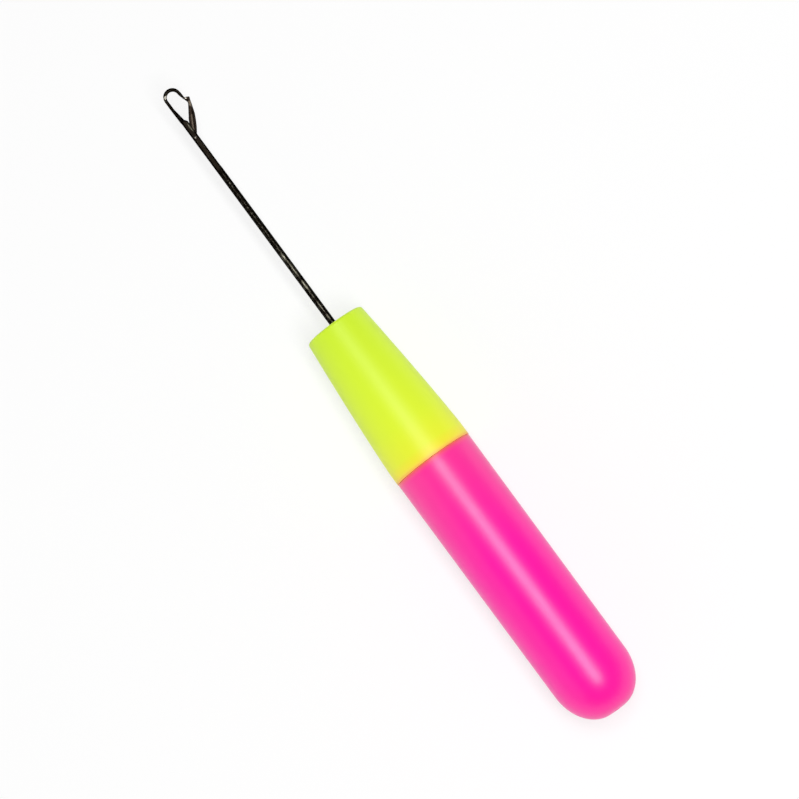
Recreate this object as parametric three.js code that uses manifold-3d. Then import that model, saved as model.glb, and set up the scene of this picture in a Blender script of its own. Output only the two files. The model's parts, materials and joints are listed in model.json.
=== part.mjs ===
// Crochet braid needle: a steel needle with a latch hook, held in a two-piece moulded handle.
//
// Lengths are in millimetres. The tool lies on its side on the plane Z = 0, with the origin under the
// middle of its length. +X runs from the butt to the hook, and the hook's mouth opens towards -Y.

import * as THREE from "three";
import { mergeVertices, toCreasedNormals } from "three/addons/utils/BufferGeometryUtils.js";
import Module from "manifold-3d";

const wasm = await Module();
wasm.setup();

// Barrel: the rear handle moulding, a closed tube with a domed butt.
const BARREL_LENGTH = 66.46;
const SEAM_STEP = 0.12; // the barrel's mouth is this much lower than the nose's base
const BARREL_NARROWING = 0.1; // from the mouth to the dome
const BARREL_EDGE_RADIUS = 0.2;
const BARREL_WALL = 2.4;
const BUTT_DOME_LENGTH = 9.9;
const BUTT_FLAT_RADIUS = 1.7;
const BUTT_WALL = 3.0;

// Nose: the front handle moulding, a tapered shell with a socket for the needle and a rear spigot.
const NOSE_LENGTH = 36.04;
const NOSE_FRONT_RADIUS = 7.05;
const NOSE_FRONT_EDGE = 1.0;
const NOSE_FRONT_SLOPE = 0.09;
const NOSE_BASE_RADIUS = 9.42;
const NOSE_BASE_SLOPE = 0.045;
const NOSE_BASE_STRAIGHT = 2.8;
const NOSE_BASE_EDGE = 0.2;
const NOSE_SKIN = 2.2;
const NOSE_FRONT_WALL = 3.0;
const SEAM_GAP = 0.03;
const SPIGOT_LENGTH = 10.0;
const SPIGOT_WALL = 1.8;
const SPIGOT_FIT = 0.05;
const SPIGOT_LEAD = 0.6;
const SOCKET_WALL = 1.6;
const SOCKET_FLOOR_PAST_TANG = 1.0;
const WEB_COUNT = 4;
const WEB_THICKNESS = 1.2;

// Needle: one length of steel wire, from the tang in the socket to the tip of the hook.
const STEM_RADIUS = 0.75;
const STEM_REACH = 50.49; // from the nose's face to the rivet
const TANG_LENGTH = 22.0;
const TANG_CHAMFER = 0.25;
const TANG_FIT = 0.05;
const WING_LENGTH = 5.0; // the stretch of the tang that is pressed flat, so that it can't turn
const WING_WIDTH = 2.4;
const WING_THICKNESS = 0.8;
const WING_SETBACK = 13.0;

// Cheeks: the two walls that the saw slot leaves at the latch, pressed flat outside.
const CHEEK_WALL = 0.37;
const CHEEK_FRONT = 3.9; // the lengths in this block are counted from the rivet
const CHEEK_RAMP = 0.7;
const CHEEK_RAMP_RADIUS = 0.53;
const CHEEK_FLAT_REAR = 8.75;
const CHEEK_FLAT_RAMP = 1.0;
const SLOT_CLEARANCE = 0.08; // under the latch as it lies back
const SLOT_SIDE_CLEARANCE = 0.05;

// Hook: the wire drawn thinner and bent round. Its places are counted from the rivet.
const HOOK_WIRE_RADIUS = 0.35;
const HOOK_THIN_REACH = 7.65;
const HOOK_BACK_DROP = 0.9; // from the stem's axis to the back of the thin wire
const HOOK_CROWN_RADIUS = 0.42;
const HOOK_BEND_REACH = 9.97;
const HOOK_BEND_RADIUS = 1.62;
const HOOK_FLARE = THREE.MathUtils.degToRad(8);
const HOOK_TIP_REACH = 8.3;
const HOOK_TIP_TAPER = 1.3;
const HOOK_TIP_RADIUS = 0.2;

// Latch: a flat steel blade with an eye at the rivet and a spoon that covers the hook's tip.
const LATCH_THICKNESS = 0.4;
const EYE_WALL = 0.13;
const EYE_CLEARANCE = 0.03;
const BLADE_HALF_WIDTH = 0.68;
const BLADE_SHOULDER = 2.6; // from the rivet
const BLADE_TAPER = 3.6; // this and the neck are counted back from the hook's tip
const NECK_SETBACK = 1.0;
const NECK_HALF_WIDTH = 0.33;
const SPOON_DROP = 1.15; // from the blade's middle line to the middle of the hook's tip
const SPOON_PAST_TIP = 0.24;
const SPOON_SLANT = 0.12; // how much further the spoon's back reaches than its foot
const SPOON_EDGE = 0.25;
const SPOON_LIP = 0.21;
const POCKET_CLEARANCE = 0.1;
const LATCH_REST_GAP = 0.06; // over the stem, as the latch lies back

// Rivet: the latch's pin, with a low head on each cheek.
const RIVET_RADIUS = 0.2;
const RIVET_DROP = 0.1; // below the stem's axis, away from the mouth
const RIVET_HOLE_CLEARANCE = 0.01;
const RIVET_HEAD_RADIUS = 0.32;
const RIVET_HEAD_HEIGHT = 0.1;
const RIVET_HEAD_GAP = 0.01;

// How finely round shapes are cut. The handle's count is a multiple of 4, so that it lies on a flat.
const HANDLE_SIDES = 48;
const WIRE_SIDES = 20;
const DOME_STEPS = 14;
const NOSE_STEPS = 14;
const BEND_STEPS = 20;
const INNER_STEPS = 7;
const EDGE_STEPS = 2;
const FRONT_EDGE_STEPS = 5;
const OUTLINE_STEPS = 5;

// Places along the tool.
const TOOL_LENGTH =
  BARREL_LENGTH + NOSE_LENGTH + STEM_REACH + HOOK_BEND_REACH + HOOK_BEND_RADIUS + HOOK_CROWN_RADIUS;
const BUTT_X = -TOOL_LENGTH / 2;
const SEAM_X = BUTT_X + BARREL_LENGTH;
const FACE_X = SEAM_X + NOSE_LENGTH;
const RIVET_X = FACE_X + STEM_REACH;
const TANG_END_X = FACE_X - TANG_LENGTH;
const AXIS_HEIGHT = NOSE_BASE_RADIUS * Math.cos(Math.PI / HANDLE_SIDES);

// Sizes that follow from a fit.
const BARREL_MOUTH_RADIUS = NOSE_BASE_RADIUS - SEAM_STEP;
const BARREL_REAR_RADIUS = BARREL_MOUTH_RADIUS - BARREL_NARROWING;
const BORE_RADIUS = BARREL_MOUTH_RADIUS - BARREL_WALL;
const SPIGOT_RADIUS = BORE_RADIUS - SPIGOT_FIT;
const SOCKET_RADIUS = Math.max(STEM_RADIUS, WING_WIDTH / 2) + TANG_FIT + SOCKET_WALL;
const SLOT_WIDTH = LATCH_THICKNESS + 2 * SLOT_SIDE_CLEARANCE;
const CHEEK_HALF_WIDTH = SLOT_WIDTH / 2 + CHEEK_WALL;
const EYE_HOLE_RADIUS = RIVET_RADIUS + EYE_CLEARANCE;
const EYE_RADIUS = EYE_HOLE_RADIUS + EYE_WALL;
const POCKET_WIDTH = 2 * (HOOK_TIP_RADIUS + POCKET_CLEARANCE);
const SPOON_WIDTH = POCKET_WIDTH + 2 * SPOON_LIP;

// The needle and the hook are one wire. They are divided here, in front of the cheeks.
const HOOK_START = CHEEK_FRONT + CHEEK_RAMP;

// Points in the hook's plane are (along, mouth): along the tool from the rivet, and from the stem's
// axis towards the mouth.
const MOUTH = -1; // the sign of Y on the mouth's side
const BEND_MIDDLE_MOUTH = HOOK_BEND_RADIUS - (HOOK_BACK_DROP - HOOK_WIRE_RADIUS);
const bendPoint = (turn) => ({
  along: HOOK_BEND_REACH + HOOK_BEND_RADIUS * Math.sin(turn),
  mouth: BEND_MIDDLE_MOUTH - HOOK_BEND_RADIUS * Math.cos(turn),
});
const LEG_START = bendPoint(Math.PI - HOOK_FLARE);
const HOOK_TIP = {
  along: HOOK_TIP_REACH,
  mouth: LEG_START.mouth + (LEG_START.along - HOOK_TIP_REACH) * Math.tan(HOOK_FLARE),
};

// The closed latch points past the hook's tip, by as much as the spoon reaches down to it.
const TIP_DISTANCE = Math.hypot(HOOK_TIP.along, HOOK_TIP.mouth + RIVET_DROP);
const LATCH_TIP = Math.sqrt(TIP_DISTANCE ** 2 - SPOON_DROP ** 2);
const LATCH_CLOSED =
  Math.atan2(HOOK_TIP.mouth + RIVET_DROP, HOOK_TIP.along) + Math.asin(SPOON_DROP / TIP_DISTANCE);
const NECK = LATCH_TIP - NECK_SETBACK;
// Laid back, the latch leans on the stem with its neck.
const LATCH_LEAN = Math.asin(
  (STEM_RADIUS + LATCH_REST_GAP + RIVET_DROP + NECK_HALF_WIDTH) / LATCH_TIP,
);

// A closed geometry as a solid. Faces that shrink to a line at a pole are dropped.
function solid(geometry) {
  const bare = geometry.clone();
  bare.deleteAttribute("normal");
  bare.deleteAttribute("uv");
  const merged = mergeVertices(bare, 1e-5);
  const corners = merged.index.array;
  const faces = [];
  for (let i = 0; i < corners.length; i += 3) {
    const [a, b, c] = corners.slice(i, i + 3);
    if (a !== b && b !== c && c !== a) faces.push(a, b, c);
  }
  return new wasm.Manifold(
    new wasm.Mesh({
      numProp: 3,
      vertProperties: merged.attributes.position.array,
      triVerts: new Uint32Array(faces),
    }),
  );
}

// A solid as a geometry that shades smooth over its round faces and sharp at its edges.
function geometryOf(manifold) {
  const mesh = manifold.getMesh();
  const geometry = new THREE.BufferGeometry();
  geometry.setAttribute("position", new THREE.BufferAttribute(mesh.vertProperties, 3));
  geometry.setIndex(new THREE.BufferAttribute(mesh.triVerts, 1));
  return toCreasedNormals(geometry, Math.PI / 6);
}

// A profile of (radius, place along X) turned about the tool's axis, with a flat face downwards.
function turned(profile) {
  const geometry = new THREE.LatheGeometry(profile, HANDLE_SIDES);
  geometry.rotateY(Math.PI / HANDLE_SIDES);
  geometry.rotateZ(-Math.PI / 2);
  return geometry;
}

const QUARTER = Math.PI / 2;
const point = (radius, x) => new THREE.Vector2(radius, x);

// The points of an elliptic arc about (radius, x), from one angle to another.
function arc(radius, x, radial, axial, from, to, steps) {
  const points = [];
  for (let i = 0; i <= steps; i += 1) {
    const angle = from + ((to - from) * i) / steps;
    points.push(point(radius + radial * Math.cos(angle), x + axial * Math.sin(angle)));
  }
  return points;
}

// A rounded corner whose sharp corner would be at (radius, x). The arc's angles say which way it faces.
function roundEdge(radius, x, edge, from, to, steps) {
  const middleX = x - edge * Math.sign(from + to);
  return arc(radius - edge, middleX, edge, edge, from, to, steps);
}

// A flat shape as a plate of a given thickness, centred on the hook's plane.
function plate(shape, thickness) {
  const settings = { depth: thickness, bevelEnabled: false, curveSegments: OUTLINE_STEPS };
  return new THREE.ExtrudeGeometry(shape, settings).translate(0, 0, -thickness / 2);
}

// A shape with straight sides through (x, y) corners.
function cornered(corners) {
  return new THREE.Shape(corners.map(([x, y]) => new THREE.Vector2(x, y)));
}

// A round wire in the hook's plane through stations, each with its middle, its heading and its radius.
function wire(stations) {
  const positions = [];
  const faces = [];
  for (const { along, mouth, heading, radius } of stations) {
    for (let side = 0; side < WIRE_SIDES; side += 1) {
      const angle = (2 * Math.PI * (side + 0.5)) / WIRE_SIDES;
      const out = radius * Math.cos(angle);
      positions.push(
        along - out * Math.sin(heading),
        MOUTH * (mouth + out * Math.cos(heading)),
        radius * Math.sin(angle),
      );
    }
  }
  const ring = (station, side) => station * WIRE_SIDES + (side % WIRE_SIDES);
  for (let station = 0; station + 1 < stations.length; station += 1) {
    for (let side = 0; side < WIRE_SIDES; side += 1) {
      const here = ring(station, side);
      const next = ring(station, side + 1);
      const ahead = ring(station + 1, side);
      const aheadNext = ring(station + 1, side + 1);
      faces.push(here, ahead, next, next, ahead, aheadNext);
    }
  }
  for (let side = 1; side + 1 < WIRE_SIDES; side += 1) {
    const last = stations.length - 1;
    faces.push(ring(0, 0), ring(0, side), ring(0, side + 1));
    faces.push(ring(last, 0), ring(last, side + 1), ring(last, side));
  }
  const geometry = new THREE.BufferGeometry();
  geometry.setAttribute("position", new THREE.Float32BufferAttribute(positions, 3));
  geometry.setIndex(faces);
  return geometry;
}

// The tang, or with a clearance the space for it: a round end with a stretch pressed flat.
function tang(clearance, rearX) {
  const radius = STEM_RADIUS + clearance;
  const round = wire([
    { along: rearX, mouth: 0, heading: 0, radius: radius - (clearance ? 0 : TANG_CHAMFER) },
    { along: rearX + TANG_CHAMFER, mouth: 0, heading: 0, radius },
    { along: FACE_X + TANG_CHAMFER, mouth: 0, heading: 0, radius },
  ]);
  const wing = new THREE.BoxGeometry(
    WING_LENGTH + 2 * clearance,
    WING_WIDTH + 2 * clearance,
    WING_THICKNESS + 2 * clearance,
  );
  wing.translate(FACE_X - WING_SETBACK - WING_LENGTH / 2, 0, 0);
  return solid(round).add(solid(wing));
}

function barrelGeometry() {
  const domeX = BUTT_X + BUTT_DOME_LENGTH;
  const domeRadial = BARREL_REAR_RADIUS - BUTT_FLAT_RADIUS;
  const innerDome = arc(0, domeX, BORE_RADIUS, BUTT_DOME_LENGTH - BUTT_WALL, 0, -QUARTER, INNER_STEPS);
  return turned([
    point(0, BUTT_X),
    ...arc(BUTT_FLAT_RADIUS, domeX, domeRadial, BUTT_DOME_LENGTH, -QUARTER, 0, DOME_STEPS),
    ...roundEdge(BARREL_MOUTH_RADIUS, SEAM_X, BARREL_EDGE_RADIUS, 0, QUARTER, EDGE_STEPS),
    point(BORE_RADIUS, SEAM_X),
    ...innerDome.slice(0, -1),
    point(0, BUTT_X + BUTT_WALL),
  ]);
}

function noseGeometry() {
  const rearX = SEAM_X + SEAM_GAP;
  const spigotEnd = SEAM_X - SPIGOT_LENGTH;
  const innerFaceX = FACE_X - NOSE_FRONT_WALL;
  const coreRadius = SPIGOT_RADIUS - SPIGOT_WALL;
  const frontCoreRadius = NOSE_FRONT_RADIUS - NOSE_SKIN;
  const socketEnd = TANG_END_X - SOCKET_FLOOR_PAST_TANG;

  // The outside of the shell is one easy curve, from the base to the rounded front edge.
  const curveStart = point(NOSE_BASE_RADIUS, rearX + NOSE_BASE_STRAIGHT);
  const curveEnd = point(NOSE_FRONT_RADIUS, FACE_X - NOSE_FRONT_EDGE);
  const reach = (curveEnd.y - curveStart.y) / 3;
  const side = new THREE.CubicBezierCurve(
    curveStart,
    point(curveStart.x - NOSE_BASE_SLOPE * reach, curveStart.y + reach),
    point(curveEnd.x + NOSE_FRONT_SLOPE * reach, curveEnd.y - reach),
    curveEnd,
  );
  const frontEdge = roundEdge(NOSE_FRONT_RADIUS, FACE_X, NOSE_FRONT_EDGE, 0, QUARTER, FRONT_EDGE_STEPS);
  const shell = turned([
    point(0, socketEnd),
    point(SOCKET_RADIUS, socketEnd),
    point(SOCKET_RADIUS, innerFaceX),
    point(frontCoreRadius, innerFaceX),
    point(coreRadius, spigotEnd),
    point(SPIGOT_RADIUS - SPIGOT_LEAD / 2, spigotEnd),
    point(SPIGOT_RADIUS, spigotEnd + SPIGOT_LEAD),
    point(SPIGOT_RADIUS, rearX),
    ...roundEdge(NOSE_BASE_RADIUS, rearX, NOSE_BASE_EDGE, -QUARTER, 0, EDGE_STEPS),
    ...side.getPoints(NOSE_STEPS),
    ...frontEdge.slice(1),
    point(0, FACE_X),
  ]);

  // Webs hold the socket in the middle of the shell.
  let moulding = solid(shell);
  const webInner = SOCKET_RADIUS - SOCKET_WALL / 2;
  const webOuter = Math.min(coreRadius, frontCoreRadius) + SPIGOT_WALL / 2;
  const webLength = innerFaceX - socketEnd;
  for (let i = 0; i < WEB_COUNT; i += 1) {
    const web = new THREE.BoxGeometry(webLength, webOuter - webInner, WEB_THICKNESS);
    web.translate((innerFaceX + socketEnd) / 2, (webInner + webOuter) / 2, 0);
    web.rotateX((2 * Math.PI * (i + 0.5)) / WEB_COUNT);
    moulding = moulding.add(solid(web));
  }
  const bore = tang(TANG_FIT, socketEnd - TANG_CHAMFER);
  return geometryOf(moulding.subtract(bore));
}

// The height of the wire's middle, where it is drawn down to a radius between the stem and the hook.
function drawnMiddle(radius) {
  const share = (STEM_RADIUS - radius) / (STEM_RADIUS - HOOK_WIRE_RADIUS);
  return -share * (HOOK_BACK_DROP - HOOK_WIRE_RADIUS);
}

// A station where the wire is straight and drawn down to a radius.
const drawnStation = (along, radius) => ({ along, mouth: drawnMiddle(radius), heading: 0, radius });

// The stem's stations, from inside the nose through the cheeks to where the hook starts.
function stemStations() {
  return [
    drawnStation(TANG_END_X - RIVET_X + WING_LENGTH, STEM_RADIUS),
    drawnStation(CHEEK_FRONT, STEM_RADIUS),
    drawnStation(HOOK_START, CHEEK_RAMP_RADIUS),
  ];
}

// The hook's stations, from the cheeks round the bend to its tip.
function hookStations() {
  const stations = [
    drawnStation(HOOK_START, CHEEK_RAMP_RADIUS),
    drawnStation((HOOK_START + HOOK_THIN_REACH) / 2, (CHEEK_RAMP_RADIUS + HOOK_WIRE_RADIUS) / 2),
    drawnStation(HOOK_THIN_REACH, HOOK_WIRE_RADIUS),
  ];
  const bend = Math.PI - HOOK_FLARE;
  for (let i = 0; i <= BEND_STEPS; i += 1) {
    const heading = (bend * i) / BEND_STEPS;
    const swell = Math.sin(heading) * (HOOK_CROWN_RADIUS - HOOK_WIRE_RADIUS);
    stations.push({ ...bendPoint(heading), heading, radius: HOOK_WIRE_RADIUS + swell });
  }
  const legPoint = (along) => ({
    along,
    mouth: HOOK_TIP.mouth - (along - HOOK_TIP.along) * Math.tan(HOOK_FLARE),
    heading: bend,
  });
  stations.push({ ...legPoint(HOOK_TIP_REACH + HOOK_TIP_TAPER), radius: HOOK_WIRE_RADIUS });
  for (const turn of [0, 30, 60, 80]) {
    const angle = THREE.MathUtils.degToRad(turn);
    const along = HOOK_TIP_REACH - HOOK_TIP_RADIUS * Math.sin(angle) * Math.cos(HOOK_FLARE);
    stations.push({ ...legPoint(along), radius: HOOK_TIP_RADIUS * Math.cos(angle) });
  }
  return stations;
}

// A point of the latch's middle plane as it lies back on the stem.
function laidBack(reach, outward) {
  return [
    -reach * Math.cos(LATCH_LEAN) - outward * Math.sin(LATCH_LEAN),
    reach * Math.sin(LATCH_LEAN) - outward * Math.cos(LATCH_LEAN) - RIVET_DROP,
  ];
}

function needleGeometry() {
  const stem = solid(wire(stemStations()).translate(RIVET_X, 0, 0));

  // The slot's floor runs under the eye, follows the latch that lies back, and leaves the stem.
  const floor = -(RIVET_DROP + EYE_RADIUS + SLOT_CLEARANCE);
  const above = 2 * STEM_RADIUS;
  const lower = ([along, mouth]) => [along, mouth - SLOT_CLEARANCE];
  const shoulder = lower(laidBack(BLADE_SHOULDER, BLADE_HALF_WIDTH));
  const taper = lower(laidBack(LATCH_TIP - BLADE_TAPER, BLADE_HALF_WIDTH));
  const neck = lower(laidBack(NECK, NECK_HALF_WIDTH));
  const rise = (neck[1] - taper[1]) / (taper[0] - neck[0]);
  const slotOutline = [
    [HOOK_START, above],
    [HOOK_START, drawnMiddle(CHEEK_RAMP_RADIUS) + CHEEK_RAMP_RADIUS],
    [CHEEK_FRONT - CHEEK_RAMP, floor],
    [0, floor],
    [shoulder[0], Math.max(shoulder[1], floor)],
    taper,
    neck,
    [neck[0] - (above - neck[1]) / rise, above],
  ].map(([along, mouth]) => [along, MOUTH * mouth]);
  const slot = plate(cornered(slotOutline), SLOT_WIDTH).translate(RIVET_X, 0, 0);

  // The cheeks' flats, seen from the mouth: one block off each side, with a ramp at its rear end.
  const sideOutline = [
    [-CHEEK_FLAT_REAR - CHEEK_FLAT_RAMP, above],
    [-CHEEK_FLAT_REAR - CHEEK_FLAT_RAMP, STEM_RADIUS],
    [-CHEEK_FLAT_REAR, CHEEK_HALF_WIDTH],
    [HOOK_START, CHEEK_HALF_WIDTH],
    [HOOK_START, above],
  ];
  const flat = plate(cornered(sideOutline), 2 * above).rotateX(Math.PI / 2).translate(RIVET_X, 0, 0);
  const otherFlat = flat.clone().rotateX(Math.PI);

  const hole = new THREE.CylinderGeometry(
    RIVET_RADIUS + RIVET_HOLE_CLEARANCE,
    RIVET_RADIUS + RIVET_HOLE_CLEARANCE,
    2 * above,
    WIRE_SIDES,
  );
  hole.rotateX(Math.PI / 2).translate(RIVET_X, -MOUTH * RIVET_DROP, 0);

  const needle = stem
    .add(tang(0, TANG_END_X))
    .subtract(solid(slot))
    .subtract(solid(flat))
    .subtract(solid(otherFlat))
    .subtract(solid(hole));
  return geometryOf(needle);
}

function hookGeometry() {
  return geometryOf(solid(wire(hookStations()).translate(RIVET_X, 0, 0)));
}

// The latch in its own frame: +X along the blade from the rivet, and +Y towards the hook.
function latchGeometry() {
  const spoonEnd = LATCH_TIP + SPOON_PAST_TIP;
  const spoonFoot = SPOON_DROP + HOOK_TIP_RADIUS / 2;
  const taper = LATCH_TIP - BLADE_TAPER;
  const eyeTop = THREE.MathUtils.degToRad(80);
  const spoonBack = spoonEnd + SPOON_SLANT;
  const at = (x, y) => new THREE.Vector2(x, y);
  const outerEdge = [
    at(BLADE_SHOULDER, -BLADE_HALF_WIDTH),
    at(taper, -BLADE_HALF_WIDTH),
    at(NECK, -NECK_HALF_WIDTH),
  ];
  const outline = new THREE.Shape();
  outline.absarc(0, 0, EYE_RADIUS, eyeTop, 2 * Math.PI - eyeTop);
  outline.splineThru(outerEdge);
  outline.lineTo(spoonBack - SPOON_EDGE, -SPOON_EDGE / 2);
  outline.quadraticCurveTo(spoonBack, -SPOON_EDGE / 2, spoonBack, SPOON_EDGE);
  outline.lineTo(spoonEnd, spoonFoot - SPOON_EDGE / 2);
  outline.quadraticCurveTo(spoonEnd, spoonFoot, spoonEnd - SPOON_EDGE / 2, spoonFoot);
  outline.lineTo(LATCH_TIP - SPOON_EDGE / 2, spoonFoot);
  outline.splineThru([at(NECK + NECK_SETBACK / 2, SPOON_DROP / 2), at(NECK, NECK_HALF_WIDTH)]);
  outline.splineThru([at(taper, BLADE_HALF_WIDTH), at(BLADE_SHOULDER, BLADE_HALF_WIDTH)]);
  outline.lineTo(EYE_RADIUS * Math.cos(eyeTop), EYE_RADIUS * Math.sin(eyeTop));
  const eye = new THREE.EllipseCurve(0, 0, EYE_HOLE_RADIUS, EYE_HOLE_RADIUS);
  outline.holes.push(new THREE.Path(eye.getPoints(WIRE_SIDES)));
  const side = solid(plate(outline, SPOON_WIDTH));

  // Seen from the mouth, the blade is thin and its end widens to the spoon.
  const half = LATCH_THICKNESS / 2;
  const spoonHalf = SPOON_WIDTH / 2;
  const spoonStart = NECK + NECK_SETBACK / 2;
  const plan = cornered([
    [-2 * EYE_RADIUS, -half],
    [NECK, -half],
    [spoonStart, -spoonHalf + SPOON_EDGE / 2],
    [LATCH_TIP, -spoonHalf],
    [spoonBack, -spoonHalf + SPOON_EDGE / 2],
    [spoonBack, spoonHalf - SPOON_EDGE / 2],
    [LATCH_TIP, spoonHalf],
    [spoonStart, spoonHalf - SPOON_EDGE / 2],
    [NECK, half],
    [-2 * EYE_RADIUS, half],
  ]);
  const blade = side.intersect(solid(plate(plan, 4 * SPOON_DROP).rotateX(Math.PI / 2)));

  // The pocket is open ahead and on the hook's side, so that the latch swings off the tip.
  const pocketRoof = SPOON_DROP - HOOK_TIP_RADIUS - POCKET_CLEARANCE;
  const pocketRear = LATCH_TIP - HOOK_TIP_RADIUS - POCKET_CLEARANCE;
  const pocket = cornered([
    [pocketRear, 2 * SPOON_DROP],
    [2 * LATCH_TIP, 2 * SPOON_DROP],
    [2 * LATCH_TIP, pocketRoof],
    [pocketRear + POCKET_CLEARANCE, pocketRoof],
    [pocketRear, pocketRoof + POCKET_CLEARANCE],
  ]);
  return geometryOf(blade.subtract(solid(plate(pocket, POCKET_WIDTH))));
}

function rivetGeometry() {
  const seat = CHEEK_HALF_WIDTH + RIVET_HEAD_GAP;
  const crown = RIVET_HEAD_RADIUS * 0.6;
  const profile = [
    [0, -seat - RIVET_HEAD_HEIGHT],
    [crown, -seat - RIVET_HEAD_HEIGHT],
    [RIVET_HEAD_RADIUS, -seat - RIVET_HEAD_HEIGHT / 3],
    [RIVET_HEAD_RADIUS, -seat],
    [RIVET_RADIUS, -seat],
    [RIVET_RADIUS, seat],
    [RIVET_HEAD_RADIUS, seat],
    [RIVET_HEAD_RADIUS, seat + RIVET_HEAD_HEIGHT / 3],
    [crown, seat + RIVET_HEAD_HEIGHT],
    [0, seat + RIVET_HEAD_HEIGHT],
  ].map(([radius, z]) => new THREE.Vector2(radius, z));
  return new THREE.LatheGeometry(profile, WIRE_SIDES).rotateX(Math.PI / 2);
}

function part(name, geometry, material) {
  const mesh = new THREE.Mesh(geometry, material);
  mesh.name = name;
  return mesh;
}

const moulded = (color) => new THREE.MeshStandardMaterial({ color, roughness: 0.38, metalness: 0 });
const steel = (color, roughness) => new THREE.MeshStandardMaterial({ color, roughness, metalness: 1 });

const tool = new THREE.Group();
tool.position.z = AXIS_HEIGHT;
tool.add(part("barrel", barrelGeometry(), moulded("#ff32a0")));
tool.add(part("nose", noseGeometry(), moulded("#d9fa3c")));
tool.add(part("needle", needleGeometry(), steel("#3b3631", 0.42)));
tool.add(part("hook", hookGeometry(), steel("#3b3631", 0.42)));

const rivetPlace = new THREE.Group();
rivetPlace.position.set(RIVET_X, -MOUTH * RIVET_DROP, 0);
tool.add(rivetPlace);
rivetPlace.add(part("latch_rivet", rivetGeometry(), steel("#c9c5bd", 0.3)));

const latch = part("latch", latchGeometry(), steel("#4a423b", 0.38));
latch.rotation.z = MOUTH * LATCH_CLOSED;
rivetPlace.add(latch);

const crochetBraidNeedle = new THREE.Group();
crochetBraidNeedle.add(tool);

export default crochetBraidNeedle;
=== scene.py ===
# Crochet braid needle: a blackened steel latch hook in a two-piece moulded handle.
#
# The frame is in metres. +X runs from the butt to the hook, +Z is up, the tool lies on Z = 0 and the
# hook's mouth opens towards -Y. Sizes here are in millimetres unless their comment says otherwise.

import json
import math

import bmesh
import bpy
import numpy as np
from mathutils import Matrix, Vector


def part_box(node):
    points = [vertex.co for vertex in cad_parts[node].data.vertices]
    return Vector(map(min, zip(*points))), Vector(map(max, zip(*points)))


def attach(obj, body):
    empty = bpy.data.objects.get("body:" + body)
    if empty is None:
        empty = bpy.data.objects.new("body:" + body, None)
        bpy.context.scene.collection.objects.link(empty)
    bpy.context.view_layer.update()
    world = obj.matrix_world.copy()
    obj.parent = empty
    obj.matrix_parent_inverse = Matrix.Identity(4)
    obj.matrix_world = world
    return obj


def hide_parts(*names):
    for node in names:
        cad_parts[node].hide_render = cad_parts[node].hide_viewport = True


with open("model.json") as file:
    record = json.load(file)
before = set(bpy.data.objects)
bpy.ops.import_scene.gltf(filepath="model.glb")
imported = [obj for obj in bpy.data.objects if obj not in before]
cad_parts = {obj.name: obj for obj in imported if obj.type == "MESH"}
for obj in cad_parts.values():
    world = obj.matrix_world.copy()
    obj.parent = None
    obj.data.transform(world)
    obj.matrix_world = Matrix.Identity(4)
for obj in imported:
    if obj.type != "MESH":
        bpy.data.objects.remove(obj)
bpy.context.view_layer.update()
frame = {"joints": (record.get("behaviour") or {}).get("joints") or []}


# Barrel: the rear half of the handle, a thick tube with a domed butt. It is injection-moulded in hot
# pink ABS in a two-part mould, so it has a fine witness line along each side and a gate mark in the
# middle of its butt. The nose's spigot is pressed into its open end.
MM = 0.001
barrel_low, barrel_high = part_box("barrel")
nose_low, nose_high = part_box("nose")
AXIS_Z = (nose_low.z + nose_high.z) / 2 / MM
BUTT_X = barrel_low.x / MM
SEAM_X = barrel_high.x / MM
FACE_X = nose_high.x / MM

BARREL_MOUTH_RADIUS = (barrel_high.z - barrel_low.z) / 2 / MM
BARREL_REAR_RADIUS = BARREL_MOUTH_RADIUS - 0.1
BARREL_BORE_RADIUS = BARREL_MOUTH_RADIUS - 2.4
BARREL_EDGE = 0.12
BUTT_DOME = 9.9
BUTT_FLAT_RADIUS = 1.7
BUTT_WALL = 3.0
GATE_RADIUS = 0.85
GATE_DEPTH = 0.18
GATE_NUB_RADIUS = 0.45
GATE_NUB_HEIGHT = 0.1
GATE_TAPER = 0.8  # what the gate's dimple and its nub narrow to, as a share
HANDLE_SIDES = 240
WITNESS_HEIGHT = 0.02
WITNESS_HALF_WIDTH = 0.13
WITNESS_CROWDING = 0.8  # how much closer the sides stand at the witness lines than between them
WITNESS_LEAST_RADIUS = BARREL_BORE_RADIUS / 2  # where the lines end on the butt's dome
CREASE = math.radians(30)  # faces that turn by more than this meet in a sharp edge


def linear(code):
    """A colour written as sRGB hex, as the linear values that a shader takes."""
    channels = [int(code[i : i + 2], 16) / 255 for i in (1, 3, 5)]
    return [c / 12.92 if c <= 0.04045 else ((c + 0.055) / 1.055) ** 2.4 for c in channels] + [1.0]


def add(tree, kind, inputs=None, **settings):
    """A node with its settings. An input is set to a value, or linked to a socket or to a node's
    first output."""
    made = tree.nodes.new(kind)
    for name, value in settings.items():
        setattr(made, name, value)
    for key, value in (inputs or {}).items():
        if isinstance(value, bpy.types.Node):
            value = value.outputs[0]
        if isinstance(value, bpy.types.NodeSocket):
            tree.links.new(value, made.inputs[key])
        else:
            made.inputs[key].default_value = value
    return made


def arc(x, radius, axial, radial, start, end, steps):
    """Points (x, radius) of an elliptic arc about a middle, from 0 degrees at +X to 90 outwards."""
    turns = np.radians(np.linspace(start, end, steps + 1))
    return [(x + axial * math.cos(turn), radius + radial * math.sin(turn)) for turn in turns]


def line(start, end, steps):
    """Points along a straight stretch, without its two ends."""
    shares = np.linspace(0, 1, steps + 1)[1:-1]
    return [tuple(np.array(start) * (1 - share) + np.array(end) * share) for share in shares]


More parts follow.
